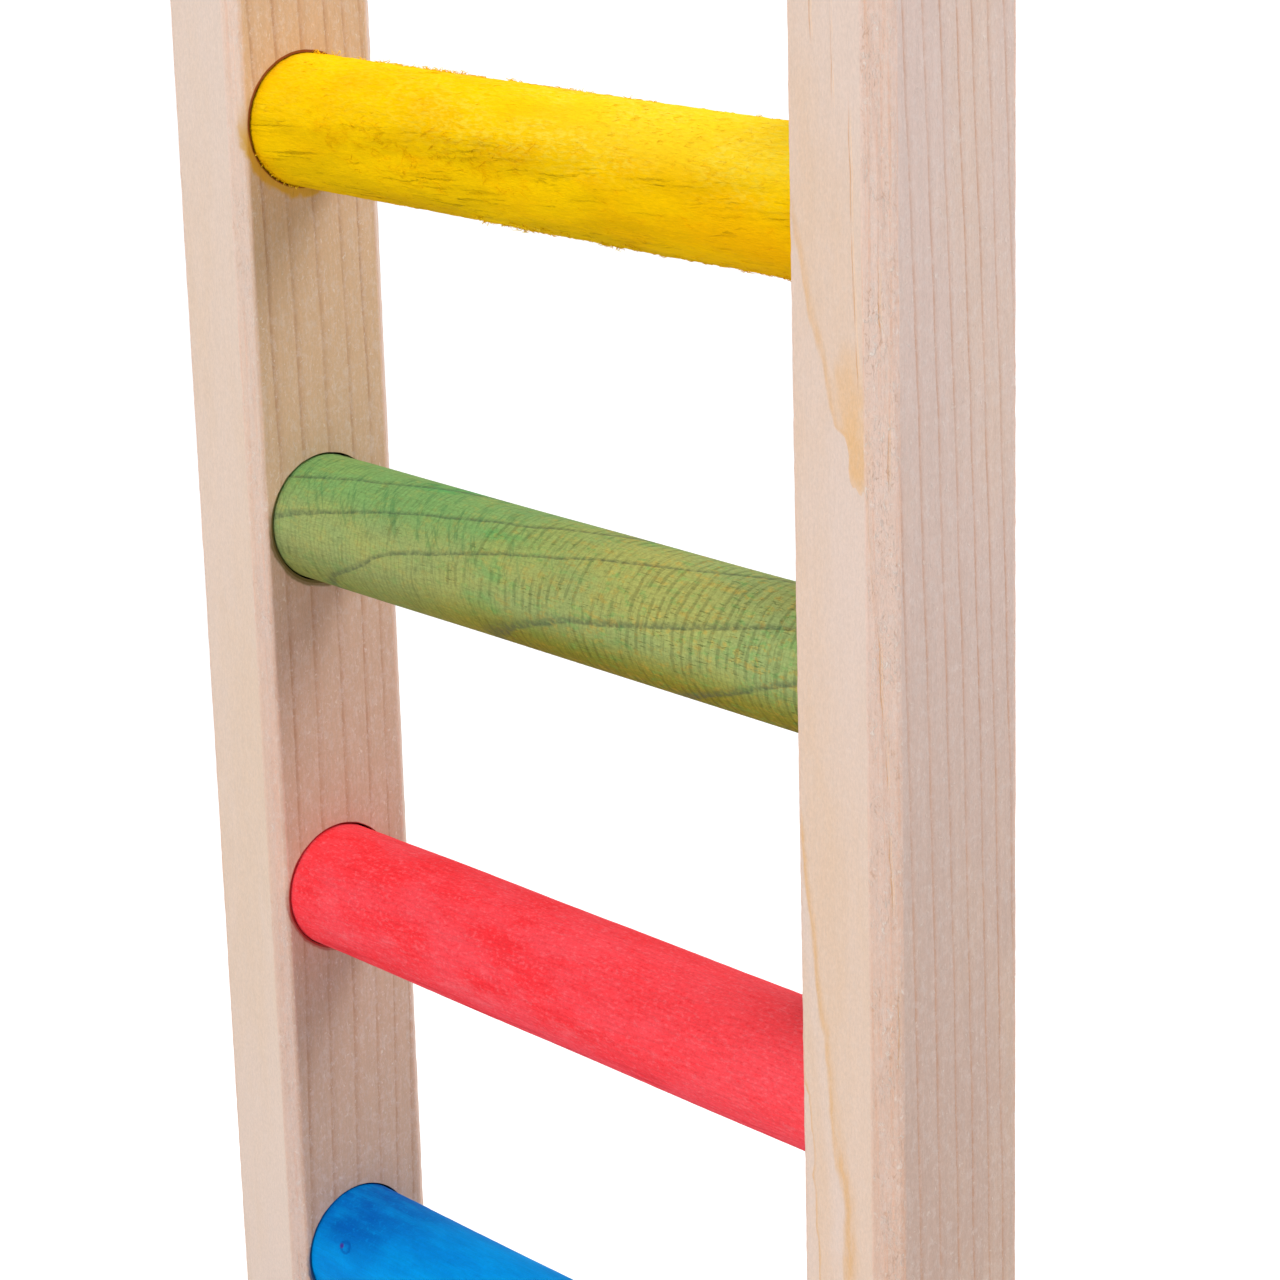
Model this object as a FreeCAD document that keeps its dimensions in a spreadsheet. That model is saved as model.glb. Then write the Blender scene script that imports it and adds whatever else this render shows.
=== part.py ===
import FreeCAD, Part
import Sketcher
import math
import os

# Bird ladder: two softwood side rails and four dyed dowel rungs, glued into blind sockets.
# Millimetres. +Z runs up the rails, +X from the left rail to the right, the fronts face -Y.
# The origin is on the ground, midway between the rails and midway through their depth.

DRIVING_SIZES = [
    ("clear_width", 72.0, "between the rails' inner faces"),
    ("rail_thickness", 11.0, "rail, inner face to outer face"),
    ("rail_depth", 16.5, "rail, front face to back face"),
    ("foot_height", 25.0, "rail's lower end to the lowest rung's axis"),
    ("head_height", 25.0, "highest rung's axis to the rail's upper end"),
    ("rung_spacing", 37.5, "rung axis to rung axis"),
    ("rung_diameter", 12.0, "dowel stock"),
    ("rung_setback", 7.5, "rail's front face to the rungs' axes"),
    ("socket_depth", 7.0, "blind bore in the rail's inner face"),
    ("socket_clearance", 0.2, "all round the rung in its socket"),
    ("outer_arris", 1.8, "chamfer along the rail's outer edges"),
    ("inner_arris", 1.2, "chamfer along the rail's inner edges"),
    ("dowel_lead", 0.8, "chamfer round the rung's ends"),
]

# Each rung sits one spacing above the one before it
RUNG_NAMES = ["blue_rung", "red_rung", "green_rung", "yellow_rung"]

RAIL_HEIGHT = (
    f"Sizes.foot_height + {len(RUNG_NAMES) - 1} * Sizes.rung_spacing + Sizes.head_height"
)
RUNG_LENGTH = "Sizes.clear_width + 2 * Sizes.socket_depth"
SOCKET_DIAMETER = "Sizes.rung_diameter + 2 * Sizes.socket_clearance"
FRONT_FACE_Y = "-Sizes.rail_depth / 2"

# The side of its inner face that a rail's wood lies on
LEFT = -1
RIGHT = 1

# Sketcher's names for a sketch's own origin, and for a line's ends and a circle's centre
ORIGIN = (-1, 1)
START = 1
END = 2
CENTRE = 3

EDGE_TOLERANCE = 1e-6

# A socket whose mouth crosses an arris takes a little less than its cylinder out of the bar
LEAST_SOCKET_SHARE = 0.9


def make_sheet(doc):
    sheet = doc.addObject("Spreadsheet::Sheet", "Sizes")
    for row, (alias, value, meaning) in enumerate(DRIVING_SIZES, start=1):
        sheet.set(f"A{row}", alias)
        sheet.set(f"B{row}", str(value))
        sheet.setAlias(f"B{row}", alias)
        sheet.set(f"C{row}", meaning)
    doc.recompute()
    return sheet


def make_body(doc, label):
    body = doc.addObject("PartDesign::Body", label)
    body.Label = label
    return body


def origin_feature(body, role):
    return next(item for item in body.Origin.OriginFeatures if item.Role == role)


def new_sketch(body, role, name):
    sketch = body.newObject("Sketcher::SketchObject", name)
    sketch.AttachmentSupport = [(origin_feature(body, role), "")]
    sketch.MapMode = "FlatFace"
    return sketch


def bound_constraint(sketch, name, constraint, expression):
    """A dimension of the sketch that follows the sheet."""
    index = sketch.addConstraint(constraint)
    sketch.renameConstraint(index, name)
    sketch.setExpression(f"Constraints.{name}", expression)


def straight_edges(shape, x):
    """The names of the upright edges that lie at x."""
    names = []
    for number, edge in enumerate(shape.Edges, start=1):
        ends = [vertex.Point for vertex in edge.Vertexes]
        upright = abs(ends[0].z - ends[-1].z) > shape.BoundBox.ZLength / 2
        if upright and all(abs(point.x - x) < EDGE_TOLERANCE for point in ends):
            names.append(f"Edge{number}")
    return names


def add_chamfer(doc, body, base, edges, expression, name):
    chamfer = body.newObject("PartDesign::Chamfer", name)
    chamfer.Base = (base, edges)
    chamfer.setExpression("Size", expression)
    doc.recompute()
    return chamfer


def draw_rail_section(body, sheet, side):
    """The bar's rectangle, from the inner face outwards and from the front face back."""
    sketch = new_sketch(body, "XY_Plane", "Section")
    outer_x = side * sheet.rail_thickness
    corners = [
        FreeCAD.Vector(0, 0, 0),
        FreeCAD.Vector(outer_x, 0, 0),
        FreeCAD.Vector(outer_x, sheet.rail_depth, 0),
        FreeCAD.Vector(0, sheet.rail_depth, 0),
    ]
    front, outer, back, inner = [
        sketch.addGeometry(Part.LineSegment(start, end))
        for start, end in zip(corners, corners[1:] + corners[:1])
    ]
    for line, following in ((front, outer), (outer, back), (back, inner), (inner, front)):
        sketch.addConstraint(Sketcher.Constraint("Coincident", line, END, following, START))
    for line in (front, back):
        sketch.addConstraint(Sketcher.Constraint("Horizontal", line))
    for line in (outer, inner):
        sketch.addConstraint(Sketcher.Constraint("Vertical", line))
    sketch.addConstraint(Sketcher.Constraint("Coincident", front, START, *ORIGIN))
    # A distance along X counts from left to right
    left_end, right_end = (START, END) if side == RIGHT else (END, START)
    thickness = Sketcher.Constraint(
        "DistanceX", front, left_end, front, right_end, sheet.rail_thickness
    )
    depth = Sketcher.Constraint("DistanceY", outer, START, outer, END, sheet.rail_depth)
    bound_constraint(sketch, "thickness", thickness, "Sizes.rail_thickness")
    bound_constraint(sketch, "depth", depth, "Sizes.rail_depth")
    return sketch


def draw_socket(body, sheet):
    """The lowest socket's circle, on the inner face."""
    sketch = new_sketch(body, "YZ_Plane", "SocketMouth")
    centre = FreeCAD.Vector(sheet.rung_setback, sheet.foot_height, 0)
    radius = sheet.rung_diameter / 2 + sheet.socket_clearance
    circle = sketch.addGeometry(Part.Circle(centre, FreeCAD.Vector(0, 0, 1), radius))
    setback = Sketcher.Constraint("DistanceX", *ORIGIN, circle, CENTRE, centre.x)
    height = Sketcher.Constraint("DistanceY", *ORIGIN, circle, CENTRE, centre.y)
    diameter = Sketcher.Constraint("Diameter", circle, 2 * radius)
    bound_constraint(sketch, "setback", setback, "Sizes.rung_setback")
    bound_constraint(sketch, "height", height, "Sizes.foot_height")
    bound_constraint(sketch, "diameter", diameter, SOCKET_DIAMETER)
    return sketch


def check_sockets(sheet, bar, drilled):
    """Every socket is bored into the wood, and not away from it."""
    radius = sheet.rung_diameter / 2 + sheet.socket_clearance
    cylinders = len(RUNG_NAMES) * math.pi * radius**2 * sheet.socket_depth
    removed = bar.Shape.Volume - drilled.Shape.Volume
    if removed < LEAST_SOCKET_SHARE * cylinders:
        raise ValueError(f"the sockets take {removed} cubic mm out of the rail")


def make_rail(doc, sheet, label, side):
    """A planed bar, its long edges eased, with a row of sockets down its inner face."""
    body = make_body(doc, label)
    section = draw_rail_section(body, sheet, side)
    bar = body.newObject("PartDesign::Pad", "Bar")
    bar.Profile = section
    bar.setExpression("Length", RAIL_HEIGHT)
    doc.recompute()

    outer_x = side * sheet.rail_thickness
    outer_edges = straight_edges(bar.Shape, outer_x)
    eased = add_chamfer(doc, body, bar, outer_edges, "Sizes.outer_arris", "OuterArris")
    inner_edges = straight_edges(eased.Shape, 0)
    eased = add_chamfer(doc, body, eased, inner_edges, "Sizes.inner_arris", "InnerArris")

    socket = body.newObject("PartDesign::Hole", "Socket")
    socket.Profile = draw_socket(body, sheet)
    doc.recompute()
    socket.DepthType = "Dimension"
    socket.DrillPoint = "Flat"
    socket.Reversed = side == RIGHT
    socket.setExpression("Depth", "Sizes.socket_depth")
    socket.setExpression("Diameter", SOCKET_DIAMETER)
    doc.recompute()

    row = body.newObject("PartDesign::LinearPattern", "SocketRow")
    row.Originals = [socket]
    row.Direction = (origin_feature(body, "Z_Axis"), [""])
    row.Mode = "Spacing"
    row.Occurrences = len(RUNG_NAMES)
    row.setExpression("Offset", "Sizes.rung_spacing")
    body.Tip = row

    body.setExpression("Placement.Base.x", f"{side} * Sizes.clear_width / 2")
    body.setExpression("Placement.Base.y", FRONT_FACE_Y)
    doc.recompute()
    check_sockets(sheet, eased, row)
    return body


def make_rung(doc, sheet, label, number):
    """A dowel from socket floor to socket floor, its ends chamfered to enter them."""
    body = make_body(doc, label)
    section = new_sketch(body, "YZ_Plane", "Section")
    radius = sheet.rung_diameter / 2
    circle = Part.Circle(FreeCAD.Vector(0, 0, 0), FreeCAD.Vector(0, 0, 1), radius)
    outline = section.addGeometry(circle)
    section.addConstraint(Sketcher.Constraint("Coincident", outline, CENTRE, *ORIGIN))
    diameter = Sketcher.Constraint("Diameter", outline, 2 * radius)
    bound_constraint(section, "diameter", diameter, "Sizes.rung_diameter")

    dowel = body.newObject("PartDesign::Pad", "Dowel")
    dowel.Profile = section
    dowel.SideType = "Symmetric"
    dowel.setExpression("Length", RUNG_LENGTH)
    doc.recompute()

    rims = [
        f"Edge{index}"
        for index, edge in enumerate(dowel.Shape.Edges, start=1)
        if isinstance(edge.Curve, Part.Circle)
    ]
    add_chamfer(doc, body, dowel, rims, "Sizes.dowel_lead", "Lead")

    body.setExpression("Placement.Base.y", f"{FRONT_FACE_Y} + Sizes.rung_setback")
    height = f"Sizes.foot_height + {number} * Sizes.rung_spacing"
    body.setExpression("Placement.Base.z", height)
    return body


def check_document(doc, bodies):
    doc.recompute()
    for item in doc.Objects:
        if {"Invalid", "Error"} & set(item.State):
            raise ValueError(f"{item.Label} is {item.State}")
    for body in bodies:
        if body.Shape.isNull() or not body.Shape.isValid():
            raise ValueError(f"{body.Label} has no valid shape")


def main():
    doc = FreeCAD.newDocument("BirdLadder")
    sheet = make_sheet(doc)
    bodies = [
        make_rail(doc, sheet, "left_rail", LEFT),
        make_rail(doc, sheet, "right_rail", RIGHT),
    ]
    for number, label in enumerate(RUNG_NAMES):
        bodies.append(make_rung(doc, sheet, label, number))
    check_document(doc, bodies)

    os.makedirs("parts", exist_ok=True)
    for body in bodies:
        body.Shape.exportStep(f"parts/{body.Label}.step")


main()
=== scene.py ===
import math
import random

import bmesh
import bpy
from mathutils import Matrix, Vector, noise


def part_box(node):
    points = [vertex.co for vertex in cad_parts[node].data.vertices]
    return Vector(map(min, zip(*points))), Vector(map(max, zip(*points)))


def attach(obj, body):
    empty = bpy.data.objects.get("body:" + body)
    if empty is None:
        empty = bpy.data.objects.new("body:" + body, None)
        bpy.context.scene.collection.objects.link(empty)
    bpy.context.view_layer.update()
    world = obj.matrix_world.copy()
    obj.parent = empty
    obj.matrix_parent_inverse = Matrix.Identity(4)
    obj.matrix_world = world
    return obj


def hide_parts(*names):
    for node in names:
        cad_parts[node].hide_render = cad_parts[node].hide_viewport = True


# The looks of a bird ladder: bare softwood rails and dyed dowel rungs, at macro range.
# Lengths are in millimetres in the row frame, and turn into metres where a mesh is made.

MM = 0.001

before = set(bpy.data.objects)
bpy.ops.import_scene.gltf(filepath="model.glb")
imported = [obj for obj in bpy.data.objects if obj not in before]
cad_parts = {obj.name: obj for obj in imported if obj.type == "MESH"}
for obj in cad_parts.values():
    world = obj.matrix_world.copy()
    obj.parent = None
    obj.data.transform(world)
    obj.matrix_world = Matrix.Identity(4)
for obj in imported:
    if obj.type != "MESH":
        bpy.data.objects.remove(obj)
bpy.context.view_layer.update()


# Sizes, read from the frame where it holds them

RAIL_LOW, RAIL_HIGH = (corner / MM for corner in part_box("right_rail"))
INNER_X = RAIL_LOW.x
OUTER_X = RAIL_HIGH.x
FRONT_Y = RAIL_LOW.y
BACK_Y = RAIL_HIGH.y
RAIL_HEIGHT = RAIL_HIGH.z
RUNG_NAMES = ("blue_rung", "red_rung", "green_rung", "yellow_rung")

SOCKET_GAP = 0.2
SOCKET_DEPTH = 7.0
OUTER_ARRIS = 1.8
INNER_ARRIS = 1.2
DOWEL_RADIUS = 6.0

# How far off their marks this ladder's rungs were drilled: back, and up at the left and
# the right rail
OFF_MARK = {
    "blue_rung": (0.1, -0.1, -0.3),
    "red_rung": (0.0, 0.38, 0.33),
    "green_rung": (0.35, -0.33, -0.45),
    "yellow_rung": (0.3, -0.18, 0.1),
}

# How far each rung sits back and up from its socket's middle, so that the gap shows on
# one side, and how far the mouth is worn open on that side
SEATED = {
    "blue_rung": (0.0, -0.03, 0.0),
    "red_rung": (0.0, -0.03, 0.0),
    "green_rung": (0.0, -0.03, 0.0),
    "yellow_rung": (0.03, 0.02, 0.08),
}


def rung_axis(name, x=0.0):
    """The y and z of a rung's axis at x."""
    low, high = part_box(name)
    back, up_left, up_right = OFF_MARK[name]
    share = (x + INNER_X) / (2 * INNER_X)
    up = up_left + (up_right - up_left) * share
    return (low.y + high.y) / 2 / MM + back, (low.z + high.z) / 2 / MM + up


def rung_radius(name):
    low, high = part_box(name)
    return (high.z - low.z) / 2 / MM


# Camera: a short telephoto view down on the ladder from its front right

CAMERA_PLACE = (256.7, -213.1, 194.2)
CAMERA_YAW = 49.35
CAMERA_PITCH = -16.60
CAMERA_ROLL = 1.58
CAMERA_LENS = 111.1


def make_camera():
    data = bpy.data.cameras.new("camera")
    data.lens = CAMERA_LENS
    data.clip_start = 0.01
    camera = bpy.data.objects.new("camera", data)
    level = Matrix.Rotation(math.radians(90), 4, "X")
    roll = Matrix.Rotation(math.radians(CAMERA_ROLL), 4, "Y")
    pitch = Matrix.Rotation(math.radians(CAMERA_PITCH), 4, "X")
    yaw = Matrix.Rotation(math.radians(CAMERA_YAW), 4, "Z")
    place = Matrix.Translation(Vector(CAMERA_PLACE) * MM)
    camera.matrix_world = place @ yaw @ pitch @ roll @ level
    bpy.context.scene.collection.objects.link(camera)
    bpy.context.scene.camera = camera


# Light and ground

WORLD_STRENGTH = 0.24
FLOOR_HALF = 4.0

# How the floor glows to the camera, near the ladder and far from it, and how far off in
# metres each begins
FLOOR_GLOW_NEAR = 0.45
FLOOR_GLOW_FAR = 1.0
FLOOR_NEAR = 0.3
FLOOR_FAR = 1.2


def add_softbox(name, place, size, power):
    """A square area lamp that faces the middle of the ladder."""
    data = bpy.data.lights.new(name, "AREA")
    data.size = size
    data.energy = power
    lamp = bpy.data.objects.new(name, data)
    lamp.location = place
    aim = Vector((0, 0, RAIL_HEIGHT * MM / 2)) - lamp.location
    lamp.rotation_mode = "QUATERNION"
    lamp.rotation_quaternion = aim.to_track_quat("-Z", "Y")
    bpy.context.scene.collection.objects.link(lamp)


def make_lights():
    add_softbox("overhead", (0.05, -0.05, 0.85), 0.6, 3.2)
    add_softbox("back_right", (0.36, 0.32, 0.56), 0.3, 2.8)
    add_softbox("front", (0.08, -1.0, 0.3), 0.7, 5.8)


def feed(tree, socket, value):
    """Give a node's input another node's output, or a constant."""
    if isinstance(value, bpy.types.NodeSocket):
        tree.links.new(value, socket)
    else:
        socket.default_value = value


def add_node(tree, kind, inputs=(), **settings):
    """A shader node, its settings first, and then its inputs by name or number."""
    node = tree.nodes.new(f"ShaderNode{kind}")
    for name, value in settings.items():
        setattr(node, name, value)
    for key, value in dict(inputs).items():
        feed(tree, node.inputs[key], value)
    return node


def make_world():
    """Even white light, and pure white where the camera, a reflection or glass sees it."""
    world = bpy.data.worlds.new("studio")
    world.use_nodes = True
    bpy.context.scene.world = world
    tree = world.node_tree
    tree.nodes.clear()
    rays = add_node(tree, "LightPath").outputs
    seen = rays["Is Camera Ray"]
    for ray in ("Is Glossy Ray", "Is Transmission Ray"):
        seen = add_node(tree, "Math", {0: seen, 1: rays[ray]}, operation="MAXIMUM").outputs[0]
    white = (1, 1, 1, 1)
    light = add_node(tree, "Background", {"Color": white, "Strength": WORLD_STRENGTH})
    pure = add_node(tree, "Background", {"Color": white, "Strength": 1.0})
    mixed = add_node(tree, "MixShader", {0: seen, 1: light.outputs[0], 2: pure.outputs[0]})
    add_node(tree, "OutputWorld", {"Surface": mixed.outputs[0]})


def floor_material():
    """Pale and matt. It glows a little to the camera alone, so that it keeps its shadow."""
    material = bpy.data.materials.new("floor_white")
    material.use_nodes = True
    tree = material.node_tree
    shader = tree.nodes["Principled BSDF"]
    shader.inputs["Base Color"].default_value = (0.74, 0.74, 0.74, 1)
    shader.inputs["Roughness"].default_value = 0.9
    shader.inputs["Specular IOR Level"].default_value = 0.1
    place = add_node(tree, "TexCoord").outputs["Object"]
    reach = add_node(tree, "VectorMath", {0: place}, operation="LENGTH").outputs["Value"]
    grow = (reach, FLOOR_NEAR, FLOOR_FAR, FLOOR_GLOW_NEAR, FLOOR_GLOW_FAR)
    grow = add_node(tree, "MapRange", enumerate(grow))
    glow = add_node(tree, "Emission", {"Strength": grow.outputs[0]})
    dark = add_node(tree, "Emission", {"Strength": 0.0})
    seen = add_node(tree, "LightPath").outputs["Is Camera Ray"]
    chosen = add_node(tree, "MixShader", {0: seen, 1: dark.outputs[0], 2: glow.outputs[0]})
    both = add_node(tree, "AddShader", {0: shader.outputs[0], 1: chosen.outputs[0]})
    feed(tree, tree.nodes["Material Output"].inputs["Surface"], both.outputs[0])
    return material


def make_floor():
    """A pale table that the ladder stands on."""
    half = FLOOR_HALF
    mesh = bpy.data.meshes.new("floor")
    corners = [(-half, -half, 0), (half, -half, 0), (half, half, 0), (-half, half, 0)]
    mesh.from_pydata(corners, [], [(0, 1, 2, 3)])
    mesh.materials.append(floor_material())
    floor = bpy.data.objects.new("floor", mesh)
    bpy.context.scene.collection.objects.link(floor)


# Materials

def srgb(red, green, blue):
    """A colour as a screen shows it, 0 to 255, as the linear one that a shader takes."""
    def linear(value):
        value /= 255
        return value / 12.92 if value <= 0.04045 else ((value + 0.055) / 1.055) ** 2.4
    return (linear(red), linear(green), linear(blue), 1.0)


# What keeps the last growth ring's end from counting as the start of another
SHORT_OF_WHOLE = 0.99999


class Shading:
    """One procedural material. Its values are sockets or plain numbers."""

    def __init__(self, name):
        self.material = bpy.data.materials.new(name)
        self.material.use_nodes = True
        self.tree = self.material.node_tree
        self.shader = self.tree.nodes["Principled BSDF"]
        self.shader.inputs["Metallic"].default_value = 0.0
        place = self.node("TexCoord").outputs["Object"]
        scaled = self.node("VectorMath", {0: place, "Scale": 1 / MM}, operation="SCALE")
        self.x, self.y, self.z = self.node("SeparateXYZ", {0: scaled.outputs[0]}).outputs

    def node(self, kind, inputs=(), **settings):
        return add_node(self.tree, kind, inputs, **settings)

    def math(self, operation, *values, clamp=False):
        node = self.node("Math", enumerate(values), operation=operation, use_clamp=clamp)
        return node.outputs[0]

    def add(self, first, second):
        return self.math("ADD", first, second)

    def subtract(self, first, second):
        return self.math("SUBTRACT", first, second)

    def times(self, first, second):
        return self.math("MULTIPLY", first, second)

    def larger(self, first, second):
        return self.math("MAXIMUM", first, second)

    def size(self, value):
        """The value without its sign."""
        return self.math("ABSOLUTE", value)

    def length(self, across, up):
        squares = self.add(self.times(across, across), self.times(up, up))
        return self.math("SQRT", squares)

    def ramp(self, value, start, end, low=0.0, high=1.0):
        """Smoothly from low at start to high at end."""
        inputs = enumerate((value, start, end, low, high))
        return self.node("MapRange", inputs, interpolation_type="SMOOTHSTEP").outputs[0]

    def noise(self, scales, detail=3.0, roughness=0.5, at=None, shift=0.0):
        """Noise with so many features a millimetre along x, y and z, about 0.5."""
        place = at or (self.x, self.y, self.z)
        place = [
            self.math("MULTIPLY_ADD", value, scale, shift) for value, scale in zip(place, scales)
        ]
        scaled = self.node("CombineXYZ", enumerate(place)).outputs[0]
        inputs = {"Vector": scaled, "Scale": 1.0, "Detail": detail, "Roughness": roughness}
        return self.node("TexNoise", inputs).outputs["Fac"]

    def sway(self, scales, reach, **more):
        """Noise about zero, that reaches about so far each way."""
        centred = self.subtract(self.noise(scales, **more), 0.5)
        return self.times(centred, 4 * reach)

    def mix_value(self, share, first, second):
        """From first to second by share, for plain values."""
        return self.add(first, self.times(share, self.subtract(second, first)))

    def mix(self, share, first, second, blend="MIX"):
        inputs = {"Factor": share, 6: first, 7: second}
        return self.node("Mix", inputs, data_type="RGBA", blend_type=blend).outputs[2]

    def lay(self, colour, where, strength, over):
        """Another colour laid over this one, where it lies and as strong as it is there."""
        return self.mix(self.times(where, strength), colour, over)

    def darken(self, colour, share, less_blue=1.0):
        """The colour times share, and its blue times less_blue as well."""
        blue = self.times(share, less_blue)
        factors = self.node("CombineXYZ", enumerate((share, share, blue))).outputs[0]
        return self.mix(1.0, colour, factors, "MULTIPLY")

    def growth(self, across, rings, drift):
        """How far a point is through its growth ring, 0 at the pith's side and 1 beyond.

        across is the point from the pith, in the plane across the grain. The rings are
        radii from the pith, and drift is what the grain's run adds to the radius there.
        """
        radius = self.add(self.length(*across), drift)
        low, high = rings[0], rings[-1]
        count = len(rings) - 1
        node = self.tree.nodes.new("ShaderNodeFloatCurve")
        curve = node.mapping.curves[0]
        while len(curve.points) < len(rings):
            curve.points.new(0.5, 0.5)
        for index, ring in enumerate(rings):
            point = curve.points[index]
            point.location = ((ring - low) / (high - low), index / count)
            point.handle_type = "VECTOR"
        node.mapping.update()
        spread = self.math("DIVIDE", self.subtract(radius, low), high - low, clamp=True)
        feed(self.tree, node.inputs["Value"], spread)
        return self.math("FRACT", self.times(node.outputs[0], count * SHORT_OF_WHOLE))

    def latewood(self, through, start, peak):
        """The dark line that ends a growth ring: it comes up softly and stops short."""
        rise = self.ramp(through, start, peak)
        fall = self.ramp(through, peak, 1.0, 1.0, 0.0)
        return self.times(rise, fall)

    def finish(self, colour, roughness, height, depth, specular):
        """height is the relief, 0 to 1, and depth what that range is in millimetres."""
        bump = self.node("Bump", {"Strength": 1.0, "Distance": depth * MM, "Height": height})
        feed(self.tree, self.shader.inputs["Normal"], bump.outputs[0])
        feed(self.tree, self.shader.inputs["Base Color"], colour)
        feed(self.tree, self.shader.inputs["Roughness"], roughness)
        self.shader.inputs["Specular IOR Level"].default_value = specular
        return self.material


RAIL_PALE = srgb(231, 208, 194)
RAIL_WARM = srgb(230, 200, 175)
# The inner faces' colours, high and low, are painted shade: darker and warmer than the other faces.
RAIL_INNER_PAINTED_SHADE = srgb(214, 178, 144)
RAIL_INNER_PAINTED_SHADE_LOW = srgb(206, 173, 150)
RAIL_SIDE = srgb(222, 198, 188)
# Painted shade: the outer face's colour low down, darker than at the top.
RAIL_SIDE_PAINTED_SHADE_LOW = srgb(204, 175, 160)
RAIL_ARRIS = srgb(240, 208, 192)
# Painted shade: the arrises' colour low down, darker than at the top.
RAIL_ARRIS_PAINTED_SHADE_LOW = srgb(226, 186, 164)
RAIL_LINE = srgb(196, 140, 106)
RAIL_FLAME = srgb(228, 182, 130)
RAIL_PATCH = srgb(235, 190, 138)
RAIL_RESIN = srgb(216, 160, 106)
RAIL_SPLIT = srgb(250, 212, 172)
RAIL_END = srgb(205, 165, 122)
RAIL_TORN = srgb(246, 234, 224)

# Each rail's pith, well behind it, and its growth rings' radii from there. The rings grow
# by rise and bend as the trunk tapers: by rise for each mm up the rail from the height
# where they lie straight, and by bend for each square mm. A streak is a thread of resin in
# the front face or its arris: its x, its middle's z, its half length and how it leans. In
# the front face a fold shifts the rings below it, from where it starts down to where it
# ends, by how much. A ring lies flush with the front face, and shows as a tan patch, at the
# x and z of flush.
RAIL_GRAIN = {
    "left_rail": {
        "pith": (-41.5, 48.0),
        "rings": (38.9, 41.2, 43.1, 45.2, 48.05, 51.0, 53.7, 57.6, 60.0),
        "straight_at": 90.0,
        "rise": 0.0,
        "bend": -0.0003,
        "streaks": (),
        "folds": (),
        "flush": (),
        "tones": (srgb(234, 213, 200), srgb(231, 205, 183)),
        "seed": 3.0,
    },
    "right_rail": {
        "pith": (47.5, 48.0),
        "rings": (
            38.0, 39.6, 41.3, 43.1, 44.9, 46.6, 48.2, 50.0, 51.8, 53.9, 56.15, 58.03, 59.92, 60.26,
            62.4,
        ),
        "straight_at": 155.0,
        "rise": -0.0537,
        "bend": -0.0002,
        "streaks": (
            (39.6, 157.0, 6.0, -0.03),
            (41.9, 153.0, 8.0, -0.02),
            (43.9, 140.0, 9.0, -0.02),
            (44.3, 130.0, 5.0, -0.05),
            (46.0, 133.0, 3.5, -0.03),
            (46.4, 122.5, 5.5, -0.02),
            (45.9, 103.0, 4.5, -0.03),
            (46.2, 97.0, 4.0, -0.02),
            (46.4, 87.0, 4.5, -0.02),
            (46.7, 74.0, 5.0, -0.01),
        ),
        "folds": ((127.0, 123.5, -0.06), (122.8, 121.8, 0.12), (120.8, 118.8, -0.05)),
        "flush": ((43.4, 124.8), (44.3, 121.0)),
        "tones": (RAIL_PALE, RAIL_WARM),
        "seed": 11.0,
    },
}


class RailShading(Shading):
    """A rail's shading, with masks of its front and back, its inner face and its arrises."""

    def __init__(self, name):
        super().__init__(f"{name}_softwood")
        self.grain = RAIL_GRAIN[name]
        self.seed = self.grain["seed"]
        self.front = self.ramp(self.size(self.y), BACK_Y - 0.6, BACK_Y - 0.1)
        self.inner = self.ramp(self.size(self.x), INNER_X + 0.4, INNER_X + 0.1)
        inner_chamfers = self.times(self.chamfers(False), 0.7)
        self.arris = self.larger(self.chamfers(True), inner_chamfers)

    def chamfers(self, outer):
        """1 on the rail's outer or inner chamfers, and 0 on its faces."""
        size = OUTER_ARRIS if outer else INNER_ARRIS
        reach = self.size(self.x)
        in_x = self.subtract(OUTER_X, reach) if outer else self.subtract(reach, INNER_X)
        in_y = self.subtract(BACK_Y, self.size(self.y))
        return self.ramp(self.add(in_x, in_y), size + 0.05, size + 0.3, 1.0, 0.0)


def rail_rings(s):
    """How far through its growth ring each point of the rail is."""
    wander = s.sway((0.06, 0.06, 0.02), 0.4, detail=2.0, shift=s.seed)
    ripple = s.sway((0.35, 0.35, 0.11), 0.09, shift=s.seed)
    off_x = s.add(s.subtract(s.x, s.grain["pith"][0]), wander)
    off_y = s.add(s.subtract(s.y, s.grain["pith"][1]), ripple)
    up = s.subtract(s.z, s.grain["straight_at"])
    drift = s.times(up, s.math("MULTIPLY_ADD", up, s.grain["bend"], s.grain["rise"]))
    for start, end, fold in s.grain["folds"]:
        drift = s.add(drift, s.times(s.ramp(s.z, start, end, 0.0, fold), s.front))
    return s.growth((off_x, off_y), s.grain["rings"], drift)


def ring_lines(s, through):
    """The line that ends each ring: finest on the front, and softest on the inner face."""
    narrow = s.times(s.latewood(through, 0.8, 0.95), s.ramp(s.inner, 0.0, 1.0, 0.6, 0.42))
    wide = s.times(s.latewood(through, 0.6, 0.965), s.ramp(s.inner, 0.0, 1.0, 0.32, 0.5))
    line = s.mix_value(s.front, s.add(narrow, wide), s.latewood(through, 0.905, 0.975))
    strength = s.ramp(s.noise((0.3, 0.3, 0.05), detail=2.0, shift=s.seed), 0.3, 0.7, 0.6, 1.0)
    dotted = s.ramp(s.noise((2.0, 2.0, 0.5), detail=2.0, shift=s.seed), 0.3, 0.6, 0.6, 1.0)
    return s.times(line, s.times(strength, dotted))


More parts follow.
